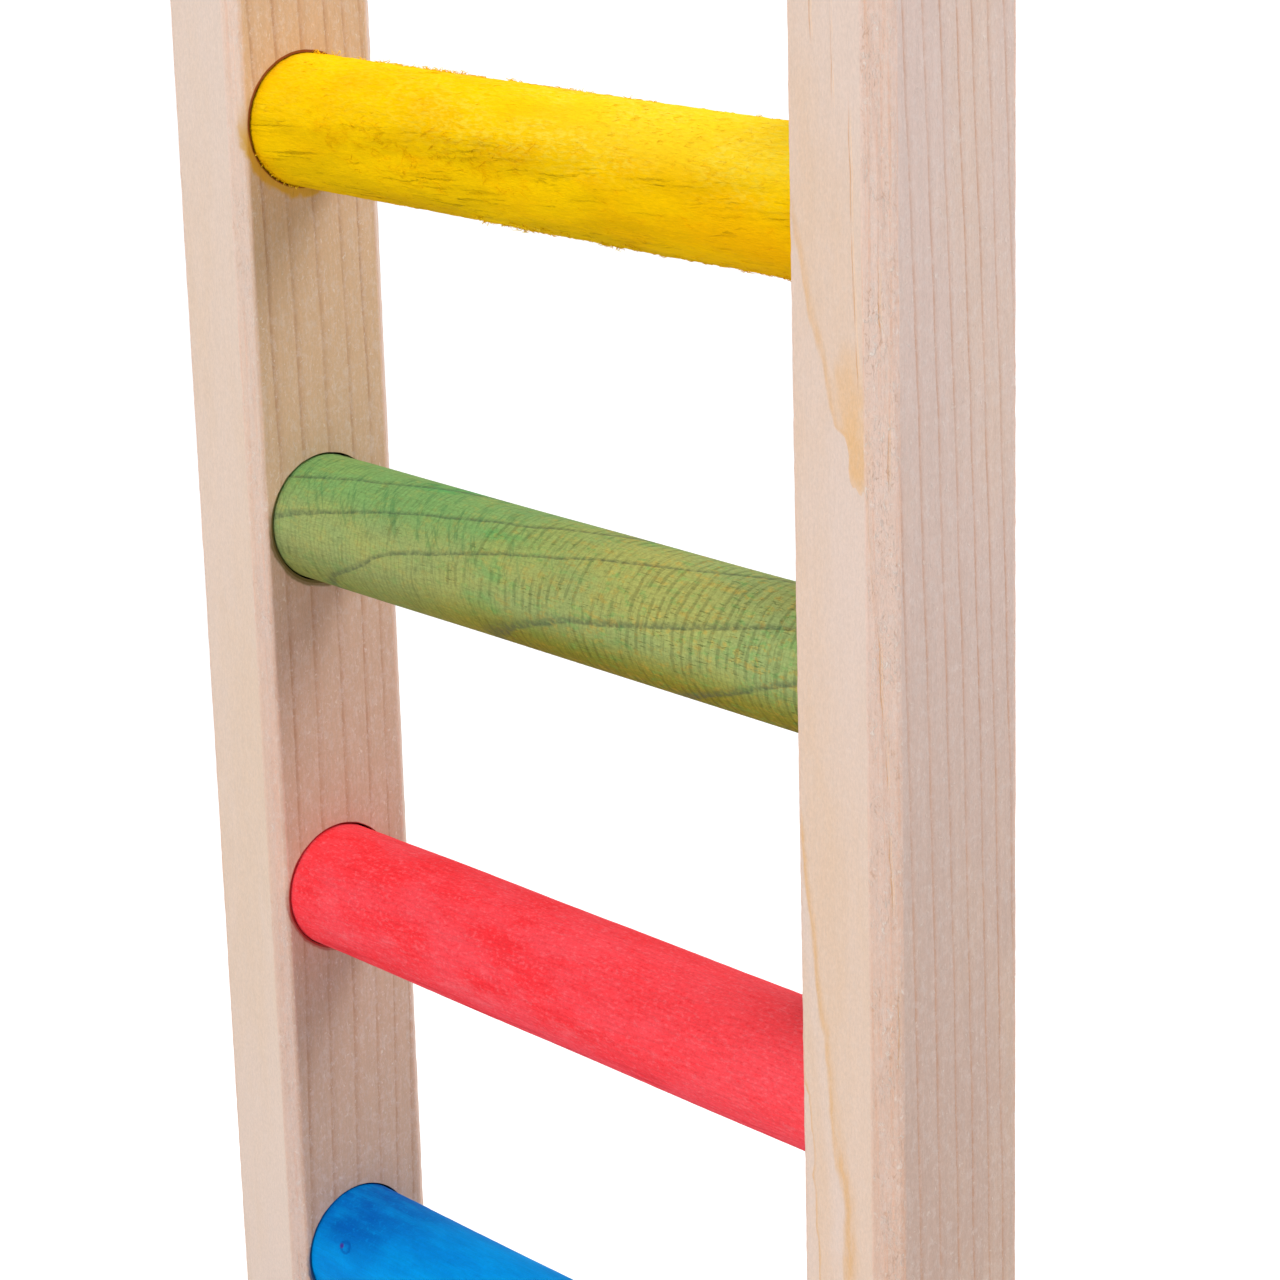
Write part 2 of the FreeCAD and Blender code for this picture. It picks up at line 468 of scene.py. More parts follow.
def rail_tone(s, late):
    """The wood's ground colour, which differs from face to face and drifts along them.

    The inner faces are painted darker and warmer, as painted shade, and the outer face is
    painted darker towards the bottom, as painted shade too.
    """
    wide = s.noise((0.12, 0.12, 0.022), shift=s.seed)
    mottle = s.noise((0.5, 0.5, 0.16), detail=4.0, roughness=0.6, shift=s.seed + 4.0)
    tone = s.add(wide, s.times(s.subtract(mottle, 0.5), 0.35))
    warm = s.add(s.times(s.ramp(tone, 0.38, 0.66), 0.45), s.times(late, 0.5))
    colour = s.mix(warm, *s.grain["tones"])
    reach = s.size(s.x)
    # Painted shade: the outer face darkens towards the bottom.
    side = s.mix(s.ramp(s.z, 150.0, 40.0), RAIL_SIDE, RAIL_SIDE_PAINTED_SHADE_LOW)
    side = s.lay(side, s.ramp(tone, 0.42, 0.66), 0.3, RAIL_WARM)
    colour = s.mix(s.ramp(reach, OUTER_X - 0.3, OUTER_X - 0.1), colour, side)
    # Painted shade: the inner face takes its own darker, warmer colour.
    shade = s.mix(s.ramp(s.z, 118.0, 84.0), RAIL_INNER_PAINTED_SHADE, RAIL_INNER_PAINTED_SHADE_LOW)
    return s.mix(s.ramp(reach, INNER_X + 0.3, INNER_X + 0.1), colour, shade)


def ringed_wood(s, through, line):
    """The ground colour, the rings' lines on it and the tan patches where they lie flush."""
    colour = rail_tone(s, s.times(s.ramp(through, 0.15, 0.75), s.front))
    # The ring lines are painted darker on the inner face too, as part of its painted shade.
    line_colour = s.mix(s.inner, RAIL_LINE, srgb(176, 126, 92))
    line_colour = s.mix(s.front, line_colour, RAIL_FLAME)
    share = s.times(line, s.math("MULTIPLY_ADD", s.front, 0.15, 0.68))
    colour = s.mix(share, colour, line_colour)
    for x, z in s.grain["flush"]:
        aside = s.add(s.subtract(s.x, x), s.sway((0.7, 0.7, 0.35), 0.6, shift=s.seed))
        away = s.times(s.subtract(s.z, z), 0.36)
        patch = s.times(s.ramp(s.length(aside, away), 2.0, 0.7), s.front)
        patch = s.times(patch, s.ramp(through, 0.25, 0.6))
        colour = s.lay(colour, patch, 0.6, RAIL_PATCH)
    return colour


def colour_arrises(s, colour):
    """The chamfers are paler than the faces, with rosy streaks along them, and painted shade
    that darkens them towards the bottom.
    """
    arris = s.mix(s.ramp(s.z, 130.0, 40.0), RAIL_ARRIS, RAIL_ARRIS_PAINTED_SHADE_LOW)
    colour = s.lay(colour, s.arris, 0.7, arris)
    rosy = s.noise((3.2, 3.2, 0.05), roughness=0.6, shift=s.seed + 17.0)
    rosy = s.times(s.ramp(rosy, 0.5, 0.68), s.arris)
    return s.lay(colour, rosy, 0.45, srgb(234, 182, 150))


def arris_threads(s, curled):
    """Short pale and brown threads along the arrises, where the cutter broke the fibres.

    The pale threads are torn fibres with painted highlight, and the brown ones are painted
    shadow beside them.
    """
    thread = s.noise((4.2, 4.2, 1.1), detail=4.0, roughness=0.65, at=curled, shift=s.seed + 5.0)
    patchy = s.noise((0.5, 0.5, 0.3), detail=2.0, shift=s.seed + 6.0)
    patchy = s.times(s.ramp(patchy, 0.4, 0.62, 0.3, 1.0), s.arris)
    pale = s.times(s.ramp(thread, 0.47, 0.33), patchy)
    brown = s.times(s.ramp(thread, 0.56, 0.70), patchy)
    return pale, brown


# Half the width of a resin streak on the arris and on the face
ARRIS_STREAK = 0.06
FACE_STREAK = 0.11


def resin_streaks(s, colour):
    """Thin brown threads of resin in the front face, each with a pale edge beside it."""
    core = 0.0
    edge = 0.0
    wander = s.sway((0.5, 0.5, 0.25), 0.12, detail=2.0, shift=s.seed + 2.0)
    for x, middle, half, lean in s.grain["streaks"]:
        up = s.subtract(s.z, middle)
        aside = s.add(s.subtract(s.x, x), s.add(s.times(up, -lean), wander))
        long = s.ramp(s.size(up), half, half * 0.5)
        width = ARRIS_STREAK if x > OUTER_X - OUTER_ARRIS else FACE_STREAK
        thin = s.ramp(s.size(aside), width, 0.0)
        pale = s.ramp(s.size(s.subtract(aside, 2 * width)), width, 0.0)
        core = s.larger(s.times(thin, long), core)
        edge = s.larger(s.times(pale, long), edge)
    broken = s.noise((1.5, 1.5, 0.2), detail=2.0, shift=s.seed + 7.0)
    broken = s.ramp(broken, 0.35, 0.55, 0.15, 1.0)
    broken = s.times(broken, s.ramp(s.y, FRONT_Y + 2.0, FRONT_Y + 1.6))
    colour = s.lay(colour, s.times(edge, broken), 0.5, RAIL_SPLIT)
    return s.lay(colour, s.times(core, broken), 0.8, RAIL_RESIN)


def add_bloom(s, colour, curled):
    """A pale woolly bloom on the faces."""
    bloom = s.noise((1.6, 1.6, 1.0), detail=6.0, roughness=0.75, at=curled, shift=s.seed + 13.0)
    bloom = s.times(s.ramp(bloom, 0.44, 0.7), s.ramp(s.front, 0.0, 1.0, 0.3, 0.12))
    return s.mix(bloom, colour, srgb(232, 222, 218))


def torn_hairs(s, curled):
    """Torn hairs that catch the light, fewest on the front."""
    hair = s.noise((4.2, 4.2, 1.3), roughness=0.55, at=curled, shift=s.seed + 9.0)
    return s.times(s.ramp(hair, 0.6, 0.72), s.ramp(s.front, 0.0, 1.0, 1.0, 0.35))


# The dye that ran out of a socket: its colour on the wood and how far it reached, then its
# colour in the bore and how far that shows round the mouth on the front side. That ring round
# the mouth is partly dye stain and partly painted shade of the gap between dowel and bore
SOCKET_STAINS = {
    "blue_rung": (srgb(88, 98, 120), 0.16, srgb(30, 76, 118), 0.12),
    "red_rung": (srgb(176, 96, 84), 0.16, srgb(170, 46, 42), 0.12),
    "green_rung": (srgb(120, 104, 60), 0.2, srgb(104, 92, 46), 0.14),
    "yellow_rung": (srgb(214, 162, 20), 0.5, srgb(136, 64, 0), 0.26),
}


def stain_sockets(s, colour):
    """Each socket's mouth stained by the rung it holds, most on the lower front side.

    The dark ring round each mouth is partly dye stain and partly painted shade of the gap
    between dowel and bore.
    """
    ragged = s.sway((0.9, 0.9, 0.9), 0.6, shift=s.seed + 21.0)
    deep = s.subtract(s.size(s.x), INNER_X)
    at_face = s.ramp(deep, 0.9, 0.4)
    in_bore = s.times(s.ramp(deep, SOCKET_DEPTH + 0.4, SOCKET_DEPTH + 0.1), s.ramp(deep, 0.12, 0.3))
    for name, (dye, reach, bore_dye, lip) in SOCKET_STAINS.items():
        y, z = rung_axis(name)
        back = s.subtract(s.y, y)
        up = s.subtract(s.z, z)
        apart = s.length(back, up)
        lower_front = s.ramp(s.add(back, up), 0.0, -6.0)
        edge = s.add(s.add(apart, s.times(ragged, reach)), s.times(lower_front, -2 * reach))
        mouth = rung_radius(name) + SOCKET_GAP
        share = s.ramp(edge, mouth - 0.5 * reach, mouth + 0.7 * reach, 0.85, 0.0)
        share = s.times(s.times(share, s.ramp(up, 2.0, -2.0, 0.2, 1.0)), at_face)
        worn = mouth + SEATED[name][2]
        bored = s.times(s.ramp(apart, worn + 0.25, worn + 0.15, 0.0, 0.9), in_bore)
        # The dark ring round the mouth, widest on the lower front: partly dye stain, partly painted
        # shade of the gap between dowel and bore.
        outside = s.subtract(s.add(apart, s.times(ragged, 0.06)), mouth)
        below_front = s.add(back, s.times(up, 0.6))
        outside = s.math("DIVIDE", outside, s.ramp(below_front, 0.0, -6.0, 0.06, lip))
        rim = s.times(s.ramp(outside, 1.3, 0.6), at_face)
        bored = s.larger(bored, s.times(rim, 0.95))
        colour = s.mix(share, colour, dye)
        colour = s.mix(bored, colour, bore_dye)
    return colour


def end_grain(s, colour, through):
    """The sawn ends: rings seen across, pores, a darker tone."""
    pores = s.noise((9.0, 9.0, 9.0))
    sawn = s.mix(s.ramp(pores, 0.4, 0.62), RAIL_END, srgb(222, 190, 150))
    sawn = s.lay(sawn, s.latewood(through, 0.35, 0.95), 0.75, srgb(158, 108, 66))
    middle = RAIL_HEIGHT / 2
    from_end = s.subtract(middle, s.size(s.subtract(s.z, middle)))
    return s.mix(s.ramp(from_end, 0.03, 0.12, 1.0, 0.0), colour, sawn)


def rail_material(name):
    """Planed bare softwood, its growth rings running through every face."""
    s = RailShading(name)
    through = rail_rings(s)
    line = ring_lines(s, through)
    colour = ringed_wood(s, through, line)
    colour = colour_arrises(s, colour)

    curl_x = s.sway((1.5, 1.5, 0.9), 0.3, detail=2.0, shift=s.seed)
    curl_y = s.sway((1.5, 1.5, 0.9), 0.3, detail=2.0, shift=s.seed + 31.0)
    curled = (s.add(s.x, curl_x), s.add(s.y, curl_y), s.z)
    pale_thread, thread_shadow = arris_threads(s, curled)
    # The brown threads are painted shadow, and the pale ones torn fibres with painted highlight.
    colour = s.lay(colour, thread_shadow, 0.6, srgb(222, 176, 144))
    colour = s.lay(colour, pale_thread, 0.7, RAIL_TORN)
    colour = resin_streaks(s, colour)
    colour = add_bloom(s, colour, curled)
    hair = torn_hairs(s, curled)
    colour = s.mix(s.times(hair, s.ramp(s.inner, 0.0, 1.0, 0.32, 0.42)), colour, RAIL_TORN)

    fibre = s.noise((3.5, 3.5, 0.14), detail=4.0, roughness=0.55, shift=s.seed)
    fine = s.noise((9.0, 9.0, 1.6), roughness=0.65, shift=s.seed)
    grit = s.noise((5.0, 5.0, 3.0), roughness=0.7, shift=s.seed + 3.0)
    streak = s.mix_value(s.times(s.front, 0.6), s.ramp(fibre, 0.3, 0.7, 0.965, 1.025), 1.0)
    streak = s.times(streak, s.ramp(fine, 0.3, 0.7, 0.965, 1.025))
    streak = s.times(streak, s.ramp(grit, 0.3, 0.7, 0.955, 1.035))
    colour = s.darken(colour, streak)
    colour = stain_sockets(s, colour)
    colour = end_grain(s, colour, through)

    relief = s.add(s.times(fibre, 0.2), s.times(fine, 0.35))
    relief = s.add(relief, s.times(line, 0.12))
    relief = s.add(relief, s.times(hair, 0.25))
    relief = s.add(relief, s.times(s.subtract(pale_thread, thread_shadow), 0.36))
    return s.finish(colour, s.ramp(fine, 0.3, 0.7, 0.65, 0.82), relief, 0.09, 0.15)


def rung_shading(name, material_name):
    """A shading with the point measured from the rung's axis: x, back and up."""
    s = Shading(material_name)
    y, z = rung_axis(name)
    s.y = s.subtract(s.y, y)
    s.z = s.subtract(s.z, z)
    return s


def yellow_nap(s, grain_z):
    """The fuzz that the torn grain leaves, and how pale it shows: most at the upper right,
    where the paleness is partly painted light.
    """
    nap_x = s.add(s.x, s.times(s.z, 0.8))
    nap = s.noise((1.1, 3.4, 3.4), detail=4.0, roughness=0.6, at=(nap_x, s.y, grain_z), shift=4.0)
    patch = s.noise((0.07, 0.14, 0.14), detail=2.0, shift=7.0)
    # Paler towards the top and the right: partly the nap's own paleness, partly painted light.
    upper = s.times(s.ramp(s.z, -0.5, 3.5), s.ramp(s.x, -26.0, 12.0, 0.25, 1.0))
    paler = s.times(s.ramp(nap, 0.42, 0.66), s.ramp(patch, 0.36, 0.56))
    return nap, s.times(paler, upper)


def yellow_streaks(s, grain_z):
    """Wide faint fields and thin dark streaks along the lower half."""
    lower = s.ramp(s.z, 4.0, 0.5)
    level = s.add(grain_z, s.sway((0.1, 0.25, 0.25), 0.35, detail=2.0, shift=1.0))
    field = s.noise((0.05, 0.35, 0.35), at=(s.x, s.y, level), shift=14.0)
    field = s.times(s.ramp(field, 0.44, 0.62), lower)
    ragged = s.add(level, s.sway((1.1, 2.5, 2.5), 0.1, shift=9.0))
    at = (s.x, s.y, ragged)
    thin = s.noise((0.08, 3.4, 3.4), roughness=0.6, at=at, shift=15.0)
    broad = s.noise((0.06, 1.3, 1.3), roughness=0.55, at=at, shift=18.0)
    gathered = s.ramp(s.noise((0.1, 0.5, 0.5), detail=2.0, at=at, shift=28.0), 0.4, 0.6, 0.1, 1.0)
    streak = s.larger(s.ramp(thin, 0.54, 0.74), s.times(s.ramp(broad, 0.56, 0.74), 0.7))
    streak = s.times(s.times(streak, gathered), s.times(lower, s.ramp(s.z, 5.0, 1.5, 0.3, 1.0)))
    return field, streak


def yellow_material():
    """Bright dye on torn grain: a fuzzy nap above, and olive streaks along the lower half.

    The top and the standing fibres are painted paler, as painted light, and the underside
    darker, as painted shade.
    """
    s = rung_shading("yellow_rung", "yellow_dye")
    grain_z = s.add(s.z, s.times(s.x, -0.09))
    tone = s.noise((0.1, 0.25, 0.25), shift=2.0)
    colour = s.mix(s.ramp(tone, 0.38, 0.68), srgb(255, 206, 0), srgb(250, 192, 0))
    # Painted light: the top of the dowel is painted paler, most towards the right.
    light = s.times(s.ramp(s.x, -10.0, 20.0), s.ramp(s.z, 1.0, 4.5))
    colour = s.lay(colour, light, 0.6, srgb(255, 220, 44))
    nap, paler = yellow_nap(s, grain_z)
    colour = s.lay(colour, paler, 0.85, srgb(252, 222, 70))
    field, streak = yellow_streaks(s, grain_z)
    colour = s.lay(colour, field, 0.36, srgb(206, 166, 0))
    colour = s.lay(colour, streak, 0.5, srgb(150, 112, 0))
    warm = s.times(s.ramp(s.x, 10.0, 34.0), s.ramp(s.z, 1.0, -3.0))
    colour = s.lay(colour, warm, 0.5, srgb(250, 178, 0))

    fine = s.noise((0.9, 8.0, 8.0), roughness=0.6, shift=25.0)
    # Painted shade: besides the fine grain, the underside is painted darker.
    shade = s.times(s.ramp(fine, 0.3, 0.7, 0.93, 1.03), s.ramp(s.z, -1.0, -5.0, 1.0, 0.88))
    colour = s.darken(colour, shade)
    at_socket = s.ramp(s.size(s.x), INNER_X - 1.4, INNER_X)
    colour = s.lay(colour, at_socket, 0.3, srgb(214, 150, 0))
    # Painted light: fibres that stand off the surface are painted paler, as light shines through
    # them.
    radius = rung_radius("yellow_rung")
    raised = s.ramp(s.length(s.y, s.z), radius + 0.3, radius + 0.45)
    colour = s.lay(colour, raised, 0.9, srgb(255, 226, 60))
    relief = s.add(s.times(nap, 0.6), s.times(fine, 0.35))
    relief = s.subtract(relief, s.times(streak, 0.5))
    return s.finish(colour, 0.85, relief, 0.2, 0.03)


# The green dowel's growth rings, from a pith behind and above it, how they cross it from
# left to right, and how far they hook down at its left end
GREEN_PITH = (13.6, 24.7)
GREEN_RINGS = (12.6, 16.6, 20.5, 24.3, 27.8, 33.4, 37.6, 41.8)
GREEN_SLOPE = 0.17
GREEN_HOOK = 1.5


def green_rings(s):
    """The dark broken lines of the rings."""
    wander = s.sway((0.05, 0.12, 0.12), 0.5, detail=2.0, shift=1.0)
    ripple = s.sway((0.35, 0.6, 0.6), 0.12, shift=3.0)
    off_y = s.add(s.subtract(s.y, GREEN_PITH[0]), ripple)
    off_z = s.add(s.subtract(s.z, GREEN_PITH[1]), wander)
    hook = s.times(s.ramp(s.x, -14.0, -34.0), s.ramp(s.z, 3.0, -2.0))
    drift = s.subtract(s.times(s.x, GREEN_SLOPE), s.times(hook, GREEN_HOOK))
    through = s.growth((off_y, off_z), GREEN_RINGS, drift)
    broken = s.ramp(s.noise((2.0, 3.0, 3.0), shift=5.0), 0.32, 0.6, 0.35, 1.0)
    return s.times(s.latewood(through, 0.84, 0.97), broken)


def green_tone(s):
    """The dye as it took: vivid at the upper left, dull below it, olive and rusty along."""
    tone = s.noise((0.07, 0.14, 0.14), roughness=0.55, shift=8.0)
    colour = s.mix(s.ramp(tone, 0.36, 0.66), srgb(150, 168, 104), srgb(170, 174, 98))
    vivid = s.noise((0.09, 0.2, 0.2), detail=4.0, roughness=0.6, shift=21.0)
    upper_left = s.times(s.ramp(s.z, 2.0, 5.0), s.ramp(s.x, 16.0, -18.0))
    vivid = s.add(s.times(upper_left, 0.8), s.times(s.ramp(vivid, 0.56, 0.68), 0.7))
    colour = s.lay(colour, vivid, 0.62, srgb(92, 168, 94))
    dull = s.times(s.ramp(s.z, 1.5, -3.5), s.ramp(s.x, -4.0, -22.0))
    colour = s.lay(colour, dull, 0.6, srgb(138, 156, 114))
    olive = s.times(s.ramp(s.z, 0.0, -4.5), s.ramp(s.x, -24.0, 0.0))
    colour = s.lay(colour, olive, 0.9, srgb(144, 134, 22))
    rust = s.noise((0.9, 1.6, 1.6), detail=4.0, roughness=0.65, shift=31.0)
    rust = s.times(s.ramp(rust, 0.5, 0.68), s.ramp(s.x, -20.0, 20.0, 0.35, 1.0))
    colour = s.lay(colour, rust, 0.55, srgb(196, 164, 72))
    fresh = s.noise((0.8, 1.6, 1.6), detail=4.0, roughness=0.65, shift=37.0)
    fresh = s.times(s.ramp(fresh, 0.52, 0.7), s.ramp(s.x, -20.0, 20.0, 0.5, 1.0))
    return s.lay(colour, fresh, 0.5, srgb(110, 172, 92))


# How far apart the cutter's marks lie along the green dowel
COARSE_CHATTER = 1.15
FINE_CHATTER = 0.6


def green_chatter(s, where):
    """The cutter's marks: uneven ribs round the dowel, coarse or fine by where."""
    turn = s.add(s.x, s.sway((0.2, 0.3, 0.3), 0.25, roughness=0.6, shift=12.0))
    coarse = s.math("SINE", s.times(turn, 2 * math.pi / COARSE_CHATTER))
    narrow = s.math("SINE", s.times(turn, 2 * math.pi / FINE_CHATTER))
    uneven = s.noise((2.0, 0.3, 0.3), roughness=0.6, at=(turn, s.y, s.z), shift=51.0)
    coarse = s.times(s.ramp(coarse, -0.3, 1.0), s.ramp(where, 0.4, 0.56))
    narrow = s.times(s.ramp(narrow, -0.2, 1.0), s.ramp(where, 0.62, 0.44, 0.3, 0.5))
    chatter = s.larger(coarse, narrow)
    chatter = s.times(chatter, s.ramp(uneven, 0.34, 0.56, 0.3, 1.0))
    return s.larger(chatter, s.times(s.ramp(uneven, 0.54, 0.7), 0.7))


def green_material():
    """Thin patchy dye over growth rings and the cutter's chatter."""
    s = rung_shading("green_rung", "green_dye")
    line = green_rings(s)
    colour = green_tone(s)
    where = s.noise((0.12, 0.3, 0.3), roughness=0.6, shift=17.0)
    where = s.add(where, s.ramp(s.x, -20.0, 22.0, -0.12, 0.08))
    chatter = green_chatter(s, where)
    fibre = s.noise((0.5, 7.0, 7.0), detail=4.0, roughness=0.65, shift=2.0)
    speck = s.noise((3.0, 4.0, 4.0), detail=4.0, roughness=0.65, shift=6.0)
    shade = s.ramp(chatter, 0.0, 1.0, 1.06, 0.75)
    # Painted shade: darker towards the underside.
    shade = s.times(shade, s.ramp(s.z, 1.5, -4.5, 0.98, 0.72))
    # Painted light: lighter towards the right end, beside the right rail.
    shade = s.times(shade, s.ramp(s.x, 0.0, 30.0, 1.0, 1.1))
    shade = s.times(shade, s.ramp(fibre, 0.3, 0.7, 0.9, 1.06))
    shade = s.times(shade, s.ramp(speck, 0.3, 0.7, 0.86, 1.1))
    colour = s.darken(colour, shade, less_blue=s.ramp(s.z, 0.0, -4.5, 1.0, 0.6))

    leaning = (s.add(s.x, s.z), s.y, s.z)
    tick = s.noise((1.7, 0.3, 0.3), roughness=0.6, at=leaning, shift=61.0)
    tick = s.times(s.ramp(tick, 0.52, 0.66), s.times(s.ramp(s.z, 0.5, 3.5), s.ramp(s.x, 14.0, -10.0)))
    colour = s.lay(colour, tick, 0.45, srgb(70, 124, 74))
    colour = s.lay(colour, line, 0.62, srgb(70, 82, 66))
    dash = s.noise((0.9, 9.0, 9.0), roughness=0.6, shift=41.0)
    dash = s.times(s.ramp(dash, 0.59, 0.7), s.ramp(where, 0.44, 0.6, 0.3, 1.0))
    colour = s.lay(colour, dash, 0.55, srgb(76, 92, 44))
    relief = s.add(s.times(fibre, 0.4), s.times(chatter, -0.35))
    relief = s.subtract(relief, s.times(s.larger(line, dash), 0.4))
    return s.finish(colour, 0.75, relief, 0.08, 0.12)


def red_material():
    """Even dye on a smooth dowel, with paler worn places."""
    s = rung_shading("red_rung", "red_dye")
    grained = (s.x, s.y, s.add(s.z, s.times(s.x, -0.08)))
    tone = s.noise((0.12, 0.3, 0.3), detail=4.0, roughness=0.55, shift=6.0)
    colour = s.mix(s.ramp(tone, 0.36, 0.66), srgb(255, 56, 64), srgb(255, 76, 86))
    worn = s.noise((0.22, 0.8, 0.8), detail=4.0, roughness=0.6, at=grained, shift=14.0)
    middle = s.ramp(s.size(s.add(s.z, 0.5)), 4.5, 1.0)
    worn = s.times(s.ramp(worn, 0.52, 0.72), middle)
    colour = s.lay(colour, worn, 0.45, srgb(255, 118, 126))
    spots = s.ramp(s.noise((1.3, 2.0, 2.0), shift=33.0), 0.66, 0.76)
    colour = s.lay(colour, spots, 0.3, srgb(255, 138, 146))
    # Painted light: paler towards the right end, beside the right rail.
    colour = s.mix(s.ramp(s.x, -5.0, 30.0, 0.0, 0.5), colour, srgb(255, 86, 94))
    mealy = s.noise((1.6, 3.2, 3.2), detail=4.0, roughness=0.7, at=grained, shift=43.0)
    colour = s.mix(s.ramp(mealy, 0.5, 0.68, 0.0, 0.5), colour, srgb(255, 112, 120))
    colour = s.mix(s.ramp(mealy, 0.46, 0.3, 0.0, 0.5), colour, srgb(248, 36, 48))
    band = s.noise((0.06, 1.4, 1.4), at=grained, shift=19.0)
    band = s.times(s.ramp(band, 0.5, 0.64), s.ramp(s.z, -1.5, -4.5))
    colour = s.lay(colour, band, 0.5, srgb(228, 34, 48))
    return dyed_finish(s, colour)


# The pin knot on the blue dowel: its place along it and up from its axis, its radius, and
# how far its dark eye lies to its left
BLUE_KNOT = (-31.3, 2.9)
KNOT_RADIUS = 0.62
KNOT_EYE = 0.55


def blue_knot(s, colour):
    """A small knot on the front: a dark ragged ring with a violet eye."""
    along = s.subtract(s.x, BLUE_KNOT[0])
    across = s.times(s.subtract(s.z, BLUE_KNOT[1]), 1.4)
    apart = s.add(s.length(along, across), s.sway((1.6, 1.6, 1.6), 0.22))
    front = s.ramp(s.y, 0.0, -1.0)
    rim = s.ramp(s.size(s.subtract(apart, KNOT_RADIUS)), 0.32, 0.05)
    colour = s.lay(colour, s.times(rim, front), 0.55, srgb(0, 70, 168))
    eye = s.ramp(s.length(s.add(along, KNOT_EYE), across), 0.42, 0.15)
    return s.lay(colour, s.times(eye, front), 0.8, srgb(74, 36, 140))


def blue_material():
    """Strong dye, darker on top towards the left socket, with a small knot."""
    s = rung_shading("blue_rung", "blue_dye")
    grained = (s.x, s.y, s.add(s.z, s.times(s.x, -0.08)))
    tone = s.noise((0.1, 0.3, 0.3), detail=4.0, shift=4.0)
    colour = s.mix(s.ramp(tone, 0.38, 0.66), srgb(0, 136, 220), srgb(0, 154, 236))
    # Darker on top towards the left socket.
    darker_top_left = s.noise((0.25, 0.3, 0.3), shift=9.0)
    darker_top_left = s.times(s.ramp(darker_top_left, 0.3, 0.62, 0.6, 1.0), s.ramp(s.x, -18.0, -34.0))
    darker_top_left = s.times(darker_top_left, s.ramp(s.z, 1.6, 5.0))
    colour = s.lay(colour, darker_top_left, 0.84, srgb(0, 74, 168))
    bright = s.noise((0.15, 0.6, 0.6), at=grained, shift=23.0)
    colour = s.lay(colour, s.ramp(bright, 0.48, 0.72), 0.3, srgb(0, 166, 240))
    mealy = s.noise((1.6, 2.0, 2.0), detail=4.0, roughness=0.7, at=grained, shift=47.0)
    colour = s.mix(s.ramp(mealy, 0.5, 0.7, 0.0, 0.3), colour, srgb(0, 160, 236))
    colour = s.mix(s.ramp(mealy, 0.46, 0.3, 0.0, 0.2), colour, srgb(0, 108, 200))
    return dyed_finish(s, blue_knot(s, colour))


def dyed_finish(s, colour):
    """Fine lengthwise grain under a smooth matt dye."""
    fibre = s.noise((0.35, 5.0, 5.0), detail=4.0, roughness=0.6, shift=2.0)
    speck = s.noise((4.0, 6.0, 6.0), roughness=0.6, shift=3.0)
    shade = s.times(s.ramp(fibre, 0.3, 0.7, 0.93, 1.04), s.ramp(speck, 0.3, 0.7, 0.94, 1.04))
    relief = s.add(s.times(fibre, 0.5), s.times(speck, 0.5))
    return s.finish(s.darken(colour, shade), 0.65, relief, 0.035, 0.04)


# Rails

ROUNDING = 0.3
ROUNDING_STEPS = 3
RAIL_STEP = 0.6
END_BREAK = 0.25

# How far planed wood waves along a face, and how rough the cutter left the arrises
LONG_WAVE = 0.05
SHORT_WAVE = 0.02
ARRIS_ROUGHNESS = 0.035

# Faces that meet at more degrees than this show an edge
SHARP_FROM = 35


def rounded_outline(corners):
    """A closed outline with its corners rounded and its straight runs divided."""
    outline = []
    for index, corner in enumerate(corners):
        before = (corners[index - 1] - corner).normalized()
        after = (corners[(index + 1) % len(corners)] - corner).normalized()
        half = before.angle(after) / 2
        reach = ROUNDING / math.tan(half)
        centre = corner + (before + after).normalized() * ROUNDING / math.sin(half)
        start = corner + before * reach - centre
        end = corner + after * reach - centre
        for step in range(ROUNDING_STEPS + 1):
            arm = start.lerp(end, step / ROUNDING_STEPS)
            outline.append(centre + arm.normalized() * ROUNDING)
    divided = []
    for index, point in enumerate(outline):
        following = outline[(index + 1) % len(outline)]
        pieces = max(1, round((following - point).length / RAIL_STEP))
        divided += [point.lerp(following, step / pieces) for step in range(pieces)]
    return divided


def rail_outline(side):
    """The rail's section with eased arrises, anticlockwise from above."""
    corners = [
        Vector((INNER_X + INNER_ARRIS, FRONT_Y)),
        Vector((OUTER_X - OUTER_ARRIS, FRONT_Y)),
        Vector((OUTER_X, FRONT_Y + OUTER_ARRIS)),
        Vector((OUTER_X, BACK_Y - OUTER_ARRIS)),
        Vector((OUTER_X - OUTER_ARRIS, BACK_Y)),
        Vector((INNER_X + INNER_ARRIS, BACK_Y)),
        Vector((INNER_X, BACK_Y - INNER_ARRIS)),
        Vector((INNER_X, FRONT_Y + INNER_ARRIS)),
    ]
    if side < 0:
        corners = [Vector((-corner.x, corner.y)) for corner in reversed(corners)]
    return rounded_outline(corners)


def rail_relief(point, seed):
    """How far planed wood stands off its nominal face there."""
    long_wave = noise.noise(Vector((point.x * 0.1, point.y * 0.1, point.z * 0.02 + seed)))
    short_wave = noise.noise(Vector((point.x * 0.5, point.y * 0.5, point.z * 0.35 + seed)))
    return LONG_WAVE * long_wave + SHORT_WAVE * short_wave


def arris_wear(point, seed):
    """Extra unevenness on the chamfers, where the cutter broke the wood."""
    in_x = min(OUTER_X - abs(point.x), abs(point.x) - INNER_X)
    in_y = BACK_Y - abs(point.y)
    if in_x + in_y > OUTER_ARRIS + ROUNDING:
        return 0.0
    rough = noise.fractal(Vector((point.x, point.y, point.z * 0.9 + seed)), 1.0, 2.0, 3)
    return ARRIS_ROUGHNESS * rough


